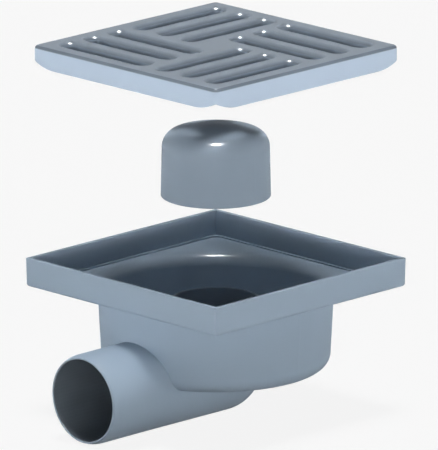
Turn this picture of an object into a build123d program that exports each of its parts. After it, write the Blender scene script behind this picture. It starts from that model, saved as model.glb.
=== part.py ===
from build123d import *
from math import radians, tan
import os

# A floor gully with a bell trap: a one-piece body, a loose bell and a square grate.
# The origin is on the axis of the bowl, level with the tray's rim. The outlet leaves along -Y.

# Tray, the square top of the body
tray_side = 150.0
tray_wall = 2.3
tray_height = 16.8
tray_draft = 1.1
tray_foot_round = 2.0
rim_round = 0.5

# Ledge that the grate stands on, and the step below it
ledge_depth = 14.1
ledge_width = 1.5
ledge_step = 1.0

# Funnel floor, from the square tray to the round bowl, whose wall is measured at the neck
funnel_fall = 0.5
funnel_corner_round = 5.0
funnel_wall = 4.0
shoulder_round = 6.8

# Bowl, whose wall starts a little in from the tray's sides
bowl_inset = 8.8
bowl_draft = 2.9
bowl_depth = 61.8
bowl_wall = 2.0
bowl_floor_round = 7.7

# Standpipe in the bowl
riser_radius = 25.3
riser_wall = 1.8
riser_rim_depth = 23.7
riser_rim_round = 0.6

# Outlet: a ball under the standpipe, a drafted run, and a straight spigot whose end curves in a
# little, to lead it into a pipe. Its axis lies a little lower than the bowl's underside.
outlet_radius = 25.5
outlet_wall = 2.3
outlet_drop = 0.3
outlet_reach = 104.1
outlet_end_round = 0.3
outlet_swell = 0.4
spigot_length = 38.0
lead_length = 5.9
lead_in = 1.2

# Bell
bell_radius = 30.8
bell_height = 40.1
bell_draft = 1.1
bell_wall = 1.8
bell_crown_radius = 105.0
bell_corner_round = 10.1
bell_lip_round = 0.5
bell_head_room = 1.2

# Ribs inside the bell, which centre it on the standpipe and carry it on the rim
rib_count = 4
rib_thickness = 1.6
rib_foot = 5.0
rib_seat_width = 3.0
rib_head = 4.0
rib_clearance = 0.3

# Groove moulded round the standpipe, for the bell's lip over the outlet
groove_side_gap = 3.4
groove_floor_gap = 4.0

# Grate
grate_clearance = 0.65
grate_height = 12.5
grate_corner_round = 3.2
grate_top_round = 2.0
grate_plate = 4.0
grate_skirt = 2.0
skirt_relief_radius = 33.0
skirt_relief_rise = 4.7

# Slots in the grate, a few to a quarter, turned a quarter turn at a time. The outermost one, and the
# outer end of each, lies an inset in from the grate's side, and the pitch follows from that.
slot_inset = 14.75
slots_per_quarter = 3
quarters = 4
slot_width = 8.6
slot_lip_round = 3.1

# Gap under a seated piece, and how far the bell, and then the grate above it, are lifted off
seat_gap = 0.3
bell_lift = 82.8
grate_lift = 41.1

# How far a cut runs past the face it goes through, and how near two heights count as level
cut_past = 1.0
level_within = 0.01

# Heights and widths that follow from the sizes above
tray_half = tray_side / 2
bowl_radius = tray_half - bowl_inset
outlet_depth = bowl_depth + outlet_drop
tray_inside_half = tray_half - tray_wall
ledge_inside_half = tray_inside_half - ledge_width
floor_top = ledge_depth + ledge_step
mouth_depth = floor_top + funnel_fall
riser_bore = riser_radius - riser_wall
lead_radius = (lead_length**2 + lead_in**2) / (2 * lead_in)

grate_half = tray_inside_half - grate_clearance
slot_pitch = (grate_half - slot_inset) / slots_per_quarter
grate_seat = -ledge_depth + seat_gap
grate_under = grate_seat + grate_height - grate_plate
bell_seat = grate_under - bell_head_room - bell_height
groove_radius = bell_radius + groove_side_gap
groove_floor = bell_seat - groove_floor_gap


def level_edges(shape, height):
    """The edges that lie flat at one height."""
    return shape.edges().filter_by(
        lambda edge: abs(edge.bounding_box().min.Z - height) < level_within
        and abs(edge.bounding_box().max.Z - height) < level_within
    )


def bowl_at(depth, wall=0.0):
    """Radius of the bowl at a depth below the rim, less a wall."""
    return bowl_radius - (depth - tray_height) * tan(radians(bowl_draft)) - wall


def cup(depth_top, depth_floor, wall, floor_round):
    """The bowl's form as a solid, from one depth to another, with a rounded floor."""
    profile = Polyline(
        (0, -depth_top),
        (bowl_at(depth_top, wall), -depth_top),
        (bowl_at(depth_floor, wall), -depth_floor),
        (0, -depth_floor),
        close=True,
    )
    face = make_face(Plane.XZ * profile)
    corner = face.vertices().group_by(Axis.Z)[0].sort_by(Axis.X)[-1]
    return revolve(fillet(corner, floor_round), Axis.Z)


def square(half, depth, corner_round):
    """A rounded square at a depth below the rim."""
    return Pos(0, 0, -depth) * RectangleRounded(2 * half, 2 * half, corner_round)


def upright(radius, low, high):
    """A cylinder on the bowl's axis, from one height to another."""
    return Pos(0, 0, low) * Cylinder(radius, high - low, align=(Align.CENTER, Align.CENTER, Align.MIN))


def outlet(wall=0.0):
    """The outlet as a solid along -Y, less a wall: half a ball, the drafted run and the spigot."""
    ball = outlet_radius + outlet_swell - wall
    end = outlet_radius - wall
    outline = CenterArc((0, 0), ball, -90, 90)
    outline += Polyline(
        (ball, 0),
        (end, outlet_reach - spigot_length),
        (end, outlet_reach),
        (0, outlet_reach),
        (0, -ball),
    )
    return Pos(0, 0, -outlet_depth) * Rot(0, 0, 180) * revolve(make_face(outline), Axis.Y)


def outlet_lead():
    """What the curved lead cuts away round the spigot's end."""
    start = outlet_reach - lead_length
    beyond = outlet_reach + cut_past
    outline = RadiusArc((outlet_radius, start), (outlet_radius - lead_in, outlet_reach), -lead_radius)
    outline += Polyline(
        (outlet_radius - lead_in, outlet_reach),
        (outlet_radius - lead_in, beyond),
        (outlet_radius + cut_past, beyond),
        (outlet_radius + cut_past, start),
        (outlet_radius, start),
    )
    return Pos(0, 0, -outlet_depth) * Rot(0, 0, 180) * revolve(make_face(outline), Axis.Y)


def tray_outside():
    """The square tray as a solid, narrower at its foot, which is rounded."""
    block = extrude(Rectangle(tray_side, tray_side), -tray_height, taper=tray_draft)
    return fillet(block.edges().group_by(Axis.Z)[0], tray_foot_round)


def outer_form():
    """Tray, funnel, bowl and outlet, all solid."""
    foot_half = tray_half - tray_height * tan(radians(tray_draft)) - tray_foot_round
    neck_depth = mouth_depth + funnel_wall
    outside = tray_outside()
    outside += loft([
        square(foot_half, tray_height, tray_foot_round),
        Pos(0, 0, -neck_depth) * Circle(bowl_at(neck_depth)),
    ])
    outside += cup(tray_height, bowl_depth, 0, bowl_floor_round)
    return outside + outlet()


def inner_form():
    """The open space of the tray, the funnel and the bowl."""
    inside = extrude(Rectangle(2 * tray_inside_half, 2 * tray_inside_half), -ledge_depth)
    inside += extrude(square(ledge_inside_half, ledge_depth, funnel_corner_round), -ledge_step)
    inside += loft([
        square(ledge_inside_half, floor_top, funnel_corner_round),
        Pos(0, 0, -mouth_depth) * Circle(bowl_at(mouth_depth, bowl_wall)),
    ])
    return inside + cup(mouth_depth, bowl_depth - bowl_wall, bowl_wall, bowl_floor_round - bowl_wall)


def trap_body():
    """One moulding: the bowl with its standpipe, and the outlet that runs out through the bowl."""
    shell = outer_form() - inner_form()
    shell = fillet(level_edges(shell, -mouth_depth), shoulder_round)
    shell = fillet(level_edges(shell, 0), rim_round)

    groove = upright(groove_radius, groove_floor, 0) - upright(riser_radius, groove_floor, 0)
    guard_floor = groove_floor - outlet_wall
    guard = upright(groove_radius + outlet_wall, guard_floor, 0) - upright(riser_bore, guard_floor, 0)
    tunnel = outlet() & cup(mouth_depth, bowl_depth, 0, bowl_floor_round)
    riser = upright(riser_radius, -outlet_depth, -riser_rim_depth)
    waterway = outlet(outlet_wall) - guard
    waterway += upright(riser_bore, -outlet_depth, 0)
    body = shell + (tunnel - groove) + riser - waterway - outlet_lead()
    body = fillet(level_edges(body, -riser_rim_depth), riser_rim_round)
    return fillet(body.edges().group_by(Axis.Y)[0], outlet_end_round)


def dome(radius, height, crown_radius, corner_round):
    """A drafted cup upside down: straight side, rounded corner, shallow crown."""
    top_radius = radius - height * tan(radians(bell_draft))
    crown_rise = crown_radius - (crown_radius**2 - top_radius**2) ** 0.5
    side_height = height - crown_rise
    profile = Polyline((0, height), (0, 0), (radius, 0), (top_radius, side_height))
    profile += RadiusArc((top_radius, side_height), (0, height), -crown_radius)
    face = make_face(Plane.XZ * profile)
    corner = face.vertices().sort_by_distance((top_radius, 0, side_height))[0]
    return revolve(fillet(corner, corner_round), Axis.Z)


def bell():
    """The bell with its ribs, lifted off the standpipe."""
    shell = dome(bell_radius, bell_height, bell_crown_radius, bell_corner_round)
    hollow = dome(
        bell_radius - bell_wall,
        bell_height - bell_wall,
        bell_crown_radius - bell_wall,
        bell_corner_round - bell_wall,
    )
    cap = shell - hollow
    rim_height = -riser_rim_depth + seat_gap - bell_seat
    inner = riser_radius + rib_clearance
    seat = riser_radius - rib_seat_width
    profile = make_face(Plane.XZ * Polyline(
        (inner, rib_foot),
        (bell_radius, rib_foot),
        (bell_radius, rim_height + rib_head),
        (seat, rim_height + rib_head),
        (seat, rim_height),
        (inner, rim_height),
        close=True,
    ))
    rib = extrude(profile, rib_thickness / 2, both=True) & hollow
    for quarter in range(rib_count):
        cap += Rot(0, 0, quarter * 360 / rib_count) * rib
    return Pos(0, 0, bell_seat + bell_lift) * fillet(level_edges(cap, 0), bell_lip_round)


def skirt_profile():
    """One side of the grate seen square on: its lower corners rise in an arc."""
    run = (skirt_relief_radius**2 - (skirt_relief_radius - skirt_relief_rise) ** 2) ** 0.5
    flat = grate_half - run
    outline = Line((-flat, 0), (flat, 0))
    outline += RadiusArc((flat, 0), (grate_half, skirt_relief_rise), -skirt_relief_radius)
    outline += Polyline(
        (grate_half, skirt_relief_rise),
        (grate_half, grate_height),
        (-grate_half, grate_height),
        (-grate_half, skirt_relief_rise),
    )
    outline += RadiusArc((-grate_half, skirt_relief_rise), (-flat, 0), -skirt_relief_radius)
    return extrude(make_face(Plane.XZ * outline), grate_half, both=True)


def grate():
    """The slotted plate with its skirt, lifted out of the tray and clear of the bell."""
    block = extrude(RectangleRounded(2 * grate_half, 2 * grate_half, grate_corner_round), grate_height)
    block = fillet(block.edges().group_by(Axis.Z)[-1], grate_top_round)
    sides = skirt_profile()
    block &= sides + Rot(0, 0, 90) * sides
    hollow_half = grate_half - grate_skirt
    block -= extrude(
        RectangleRounded(2 * hollow_half, 2 * hollow_half, grate_corner_round - grate_skirt),
        grate_height - grate_plate,
    )
    slot_run = slots_per_quarter * slot_pitch
    slot = Pos(slot_run / 2, 0) * SlotCenterToCenter(slot_run, slot_width)
    slots = Sketch()
    for quarter in range(quarters):
        for row in range(1, slots_per_quarter + 1):
            slots += Rot(0, 0, quarter * 360 / quarters) * Pos(0, row * slot_pitch) * slot
    block -= extrude(slots, grate_height + cut_past)
    top = block.faces().sort_by(Axis.Z)[-1]
    lips = [edge for hole in top.inner_wires() for edge in hole.edges()]
    block = fillet(lips, slot_lip_round)
    return Pos(0, 0, grate_seat + bell_lift + grate_lift) * block


os.makedirs("parts", exist_ok=True)
export_step(trap_body(), "parts/trap_body.step")
export_step(bell(), "parts/bell_cup.step")
export_step(grate(), "parts/grate.step")
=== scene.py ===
# %% [markdown]
# # A floor gully, shown lifted apart
# The object is a square floor gully moulded in grey-blue plastic. A slotted grate hangs over a domed bell,
# and the bell hangs over the body, which has a square tray, a round bowl and a side outlet.
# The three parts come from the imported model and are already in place, so this lesson only dresses them:
# it gives each moulding its plastic, then sets the camera, the floor and the lamps.

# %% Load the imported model
from math import cos, radians, sin

import bmesh
import bpy
from mathutils import Matrix, Vector


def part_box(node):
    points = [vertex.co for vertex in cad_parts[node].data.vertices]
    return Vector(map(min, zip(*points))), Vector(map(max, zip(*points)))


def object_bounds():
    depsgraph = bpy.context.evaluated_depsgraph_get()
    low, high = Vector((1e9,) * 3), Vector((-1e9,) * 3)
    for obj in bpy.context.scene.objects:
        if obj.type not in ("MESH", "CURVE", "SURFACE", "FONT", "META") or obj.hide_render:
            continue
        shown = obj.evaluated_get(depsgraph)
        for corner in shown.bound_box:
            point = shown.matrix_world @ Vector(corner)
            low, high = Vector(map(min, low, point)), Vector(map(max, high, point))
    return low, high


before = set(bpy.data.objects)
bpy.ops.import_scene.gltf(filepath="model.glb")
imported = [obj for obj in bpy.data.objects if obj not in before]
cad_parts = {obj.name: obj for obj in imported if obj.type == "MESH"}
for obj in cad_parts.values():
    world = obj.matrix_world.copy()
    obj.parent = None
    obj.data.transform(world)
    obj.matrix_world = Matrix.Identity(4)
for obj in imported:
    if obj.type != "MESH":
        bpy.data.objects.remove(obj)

cad_low, cad_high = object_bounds()
body_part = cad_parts["trap_body"]
bell_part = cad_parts["bell_cup"]
grate_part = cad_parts["grate"]
for part in (body_part, bell_part, grate_part):
    print(part.name, len(part.data.polygons), "triangles, own normals", part.data.has_custom_normals)

# %% [markdown]
# ## Looking from the photograph's place
# The picture is taken along the tray's diagonal, from a little above, through a very long lens, so that
# the two sides of the square look alike and hardly taper. A camera without perspective would come close,
# but a long lens far away keeps that slight taper. The camera is turned by its own three directions: to
# the right, up, and back from the object.

# %% Camera
picture_width = 438
camera_azimuth = radians(44.97)
camera_elevation = radians(15.04)
camera_distance = 5.71
focal_length_pixels = 10218.1
aim_right = 0.00177
aim_up = 0.01819
sensor_width = 36
sight_limit = 50

toward_camera = Vector((
    sin(camera_azimuth) * cos(camera_elevation),
    -cos(camera_azimuth) * cos(camera_elevation),
    sin(camera_elevation),
))
picture_right = Vector((cos(camera_azimuth), sin(camera_azimuth), 0))
picture_up = toward_camera.cross(picture_right)

camera = bpy.data.objects.new("camera", bpy.data.cameras.new("camera"))
bpy.context.scene.collection.objects.link(camera)
camera.matrix_world = Matrix.LocRotScale(
    picture_right * aim_right + picture_up * aim_up + toward_camera * camera_distance,
    Matrix((picture_right, picture_up, toward_camera)).transposed(),
    None,
)
camera.data.sensor_fit = "HORIZONTAL"
camera.data.sensor_width = sensor_width
camera.data.lens = sensor_width * focal_length_pixels / picture_width
camera.data.clip_end = sight_limit
bpy.context.scene.camera = camera
print("lens", round(camera.data.lens), "mm at", camera_distance, "m")

# %% [markdown]
# ## Writing a material as a sum
# A material is a tree of nodes, and a long list of nodes and links is hard to read. This class wraps one
# socket, so that an expression such as 1 - mask adds its own Math node. Every other node comes from one
# method, which takes the node's type, its settings and what goes into its sockets.

# %% Sockets that add up


class Wire:
    """One output socket of a material, with Python's operators on it."""

    def __init__(self, tree, socket=None):
        self.tree = tree
        self.socket = socket

    def node(self, kind, settings, inputs, output=0):
        """Adds a node, sets it up, feeds its sockets and gives one of its outputs."""
        made = self.tree.nodes.new(kind)
        for name, value in settings.items():
            setattr(made, name, value)
        for key, value in inputs.items():
            if isinstance(value, Wire):
                self.tree.links.new(value.socket, made.inputs[key])
            else:
                made.inputs[key].default_value = value
        return Wire(self.tree, made.outputs[output] if made.outputs else None)

    def math(self, operation, first, second=0.0, clamp=False):
        settings = {"operation": operation, "use_clamp": clamp}
        return self.node("ShaderNodeMath", settings, {0: first, 1: second})

    def __add__(self, other):
        return self.math("ADD", self, other)

    def __sub__(self, other):
        return self.math("SUBTRACT", self, other)

    def __rsub__(self, other):
        return self.math("SUBTRACT", other, self)

    def __mul__(self, other):
        return self.math("MULTIPLY", self, other)

    def __pow__(self, power):
        return self.math("POWER", self, power)

    def __abs__(self):
        return self.math("ABSOLUTE", self)

    __radd__ = __add__
    __rmul__ = __mul__

    def clamped(self):
        """The same value, held between 0 and 1."""
        return self.math("ADD", self, clamp=True)

    def parts(self):
        """The x, y and z of a place or direction."""
        apart = self.node("ShaderNodeSeparateXYZ", {}, {0: self})
        return [Wire(self.tree, output) for output in apart.socket.node.outputs]


# %% [markdown]
# ## Colours and masks
# Colours are written as on a screen, because they are compared with a picture, and the shader wants them
# linear. A mask is a number from 0 to 1 that says where one colour gives way to another. The masks here
# are depths in metres, in the object's own coordinates, that grow from 0 to 1 over a narrow edge.

# %% Colours and masks
screen_gamma = 2.2
mask_edge = 0.0006


def linear(red, green, blue):
    """A colour written as on a screen, from 0 to 255, as the shader wants it."""
    return (*[(level / 255) ** screen_gamma for level in (red, green, blue)], 1)


def blend(wire, mask, first, second):
    """A colour between two others."""
    return wire.node("ShaderNodeMix", {"data_type": "RGBA"}, {0: mask, 6: first, 7: second}, output=2)


def masked(depth):
    """The mask of what lies past the place where a depth is 0."""
    return (depth * (1 / mask_edge)).clamped()


print("masks blend over", mask_edge * 1000, "mm")

# %% [markdown]
# ## Moulded plastic
# The gully is injection moulded, so its colour runs right through and its surface is smooth and glossy.
# Up close such a surface is never quite even: the colour drifts a little where the melt cooled at
# different speeds, and a fine ripple, like orange peel, unsettles the light on it. Two noises of
# different sizes give those two, measured in the object's own metres. The picture shows small sharp
# highlights but hardly any mirrored background, so the gloss is a thin coat over a matte base.

# %% The plastic's shader
ripple_size = 0.0035
ripple_height = 0.00002
drift_size = 0.03
drift_share = 0.03
base_roughness = 0.6
gloss_roughness = 0.2


def noise(wire, place, size):
    """Even noise whose lumps are about one size across, in metres."""
    return wire.node("ShaderNodeTexNoise", {}, {"Vector": place, "Scale": 1 / size})


def drifting(wire, place, colour):
    """A colour that drifts a little lighter and darker over the moulding."""
    lighter = (*[level * (1 + drift_share) for level in colour[:3]], 1)
    darker = (*[level * (1 - drift_share) for level in colour[:3]], 1)
    return blend(wire, noise(wire, place, drift_size), darker, lighter)


def moulded_plastic(name, paint, gloss):
    """A moulding with a thin gloss. paint gives its colour from a wire and the place on the object."""
    material = bpy.data.materials.new(name)
    material.use_nodes = True
    material.node_tree.nodes.clear()
    wire = Wire(material.node_tree)
    place = wire.node("ShaderNodeTexCoord", {}, {}, output="Object")
    ripples = noise(wire, place, ripple_size)
    bump = wire.node("ShaderNodeBump", {}, {"Height": ripples, "Strength": 1.0, "Distance": ripple_height})
    surface = wire.node("ShaderNodeBsdfPrincipled", {}, {
        "Base Color": paint(wire, place),
        "Roughness": base_roughness,
        "Specular IOR Level": 0.0,
        "Coat Weight": gloss,
        "Coat Roughness": gloss_roughness,
        "Normal": bump,
    })
    wire.node("ShaderNodeOutputMaterial", {}, {"Surface": surface})
    print("material", name)
    return material


def dress(part, material):
    """Gives a whole part one material."""
    part.data.materials.clear()
    part.data.materials.append(material)


# %% [markdown]
# ## Body
# The inside of the outlet is painted darker and greyer than the rest of the body. That is painted shade:
# the plastic is the same there, but little light reaches inside. A second material could show that, but
# its faces would have to be sorted out first. One material with a mask needs only the place: the outlet
# runs from its mouth to a ball under the bowl's middle, so what lies inside is near the outlet's axis,
# or, behind the middle of the ball, where y is above 0, near that middle.

# %% Dress the body
body_colour = linear(161, 178, 195)
# Painted shade: the outlet's inside is the same plastic, painted darker and greyer because little light
# reaches in.
bore_shade_colour = linear(114, 122, 130)
outlet_height = -0.0621
bore_radius = 0.0237


def body_paint(wire, place):
    x, y, z = place.parts()
    behind = y.clamped()
    away = (x * x + behind * behind + (z - outlet_height) ** 2) ** 0.5
    outside = drifting(wire, place, body_colour)
    # Inside the outlet the body gets the darker painted shade colour.
    return blend(wire, masked(bore_radius - away), outside, drifting(wire, place, bore_shade_colour))


dress(body_part, moulded_plastic("body plastic", body_paint, gloss=0.1))

# %% [markdown]
# ## Bell
# The bell is the same grey-blue as the body, a little darker. The light and dark patches on its dome
# aren't colour: they are light that falls through the slots of the grate above it.

# %% Dress the bell
bell_colour = linear(137, 150, 163)


def bell_paint(wire, place):
    return drifting(wire, place, bell_colour)


dress(bell_part, moulded_plastic("bell plastic", bell_paint, gloss=0.12))

# %% [markdown]
# ## Grate
# The grate is a clearly paler blue than the body. Its flat top is painted greyer, which is painted shade:
# less light falls on the top than on the sides. The top is what lies less than a small depth below the
# highest point, so its mask comes from the height alone. The rounding along its sides is painted darker
# still, also painted shade: that is what lies furthest out, toward one side or another.

# %% Dress the grate
grate_colour = linear(177, 193, 211)
# Painted shade: the flat top is painted greyer than the grate's own paler blue, because less light falls
# on it.
top_shade_colour = linear(140, 152, 165)
# Painted shade: the rounding along the sides is painted darker still.
rounding_shade_colour = linear(100, 110, 121)
top_depth = 0.0014
rounding_width = 0.0016
grate_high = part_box("grate")[1]


def grate_paint(wire, place):
    x, y, z = place.parts()
    flat_half = grate_high.x - rounding_width
    far_out = (masked(abs(x) - flat_half) + masked(abs(y) - flat_half)).clamped()
    # The top gets its painted shade, darker still on the rounding that lies furthest out.
    top = blend(wire, far_out, drifting(wire, place, top_shade_colour), rounding_shade_colour)
    below = masked((grate_high.z - top_depth) - z)
    return blend(wire, below, top, drifting(wire, place, grate_colour))


dress(grate_part, moulded_plastic("grate plastic", grate_paint, gloss=0.3))

# %% [markdown]
# ## Floor
# The floor is a stand for the shadow and no part of the gully. A single wide square just under the
# outlet is enough, because its far side meets a background of the same colour.

# %% Floor
floor_gap = 0.0005
floor_reach = 6.0

floor_mesh = bpy.data.meshes.new("floor")
shape = bmesh.new()
bmesh.ops.create_grid(shape, x_segments=1, y_segments=1, size=floor_reach)
bmesh.ops.translate(shape, verts=shape.verts, vec=(0, 0, cad_low[2] - floor_gap))
shape.to_mesh(floor_mesh)
shape.free()
floor = bpy.data.objects.new("floor", floor_mesh)
bpy.context.scene.collection.objects.link(floor)
print("floor", round(cad_low[2] - floor_gap, 4), "m high")

# %% [markdown]
# ## Background
# The picture's background is an even near-white. The floor shows that colour to the camera and in
# reflections, with a share left for plain light, so that it still carries the object's soft shadow.
# To all other rays it is nearly black and throws little light back up, because the undersides in the
# picture are dark.

# %% The floor's colour
background = linear(247, 247, 247)
background_strength = 1.03
shadow_share = 0.08
shadow_grey = 0.8
unseen_grey = 0.08


def seen_rays(wire):
    """1 for the rays that show the background: to the camera, in a reflection or through glass."""
    rays = wire.node("ShaderNodeLightPath", {}, {}).socket.node.outputs
    camera_ray = Wire(wire.tree, rays["Is Camera Ray"])
    glossy_ray = Wire(wire.tree, rays["Is Glossy Ray"])
    clear_ray = Wire(wire.tree, rays["Is Transmission Ray"])
    return (camera_ray + glossy_ray + clear_ray).clamped()


def matte(wire, grey):
    """A plain matte surface of one grey."""
    return wire.node("ShaderNodeBsdfDiffuse", {}, {"Color": (grey, grey, grey, 1)})


floor_material = bpy.data.materials.new("floor")
floor_material.use_nodes = True
floor_material.node_tree.nodes.clear()
wire = Wire(floor_material.node_tree)
pale = wire.node("ShaderNodeEmission", {}, {"Color": background, "Strength": background_strength})
seen = wire.node("ShaderNodeMixShader", {}, {0: shadow_share, 1: pale, 2: matte(wire, shadow_grey)})
mixed = wire.node("ShaderNodeMixShader", {}, {0: seen_rays(wire), 1: matte(wire, unseen_grey), 2: seen})
wire.node("ShaderNodeOutputMaterial", {}, {"Surface": mixed})
floor.data.materials.append(floor_material)
print("material", floor_material.name)

# %% [markdown]
# ## Light from the sides
# In the picture the upright walls are the brightest and the tops come next, while what faces down or
# lies inside is dark. So most light comes level from all sides. A ring of lamps could give it, but the
# world does so without seams: its strength falls off as a direction points up more steeply, and that
# steepness is the height of the direction's own unit vector.

# %% World
side_light = 25.5
side_sharpness = 36.0
plain_light = 0.1

world = bpy.data.worlds.new("studio")
bpy.context.scene.world = world
world.use_nodes = True
world.node_tree.nodes.clear()
wire = Wire(world.node_tree)
direction = wire.node("ShaderNodeTexCoord", {}, {}, output="Generated")
steepness = direction.parts()[2].clamped()
strength = plain_light + side_light * (1 - steepness) ** side_sharpness
soft = wire.node("ShaderNodeBackground", {}, {"Color": (1, 1, 1, 1), "Strength": strength})
shown = wire.node("ShaderNodeBackground", {}, {"Color": background, "Strength": 1.0})
mixed = wire.node("ShaderNodeMixShader", {}, {0: seen_rays(wire), 1: soft, 2: shown})
wire.node("ShaderNodeOutputWorld", {}, {"Surface": mixed})
print("world light, level", plain_light + side_light, "and straight up", plain_light)

# %% [markdown]
# ## Light from above
# The rest of the light comes from a far lamp straight above. It shines through the slots, which draws
# the soft pale patches on the bell. A second one in the same place is seen only in the gloss, as the
# short white marks on the bell and at the slots' ends.

# %% Lamps


def lamp_above(name, power, width):
    """A far round lamp that shines straight down. Its width is an angle in degrees."""
    light = bpy.data.lights.new(name, "SUN")
    light.energy = power
    light.angle = radians(width)
    made = bpy.data.objects.new(name, light)
    bpy.context.scene.collection.objects.link(made)
    print("lamp", name, power)
    return made


lamp_above("lamp above", power=2.1, width=11)
lamp_above("gloss lamp", power=45.0, width=9).visible_diffuse = False

# %% [markdown]
# ## Finish
# Colours are shown as they are written, through the standard view transform.

# %% Finish
bpy.context.scene.view_settings.view_transform = "Standard"
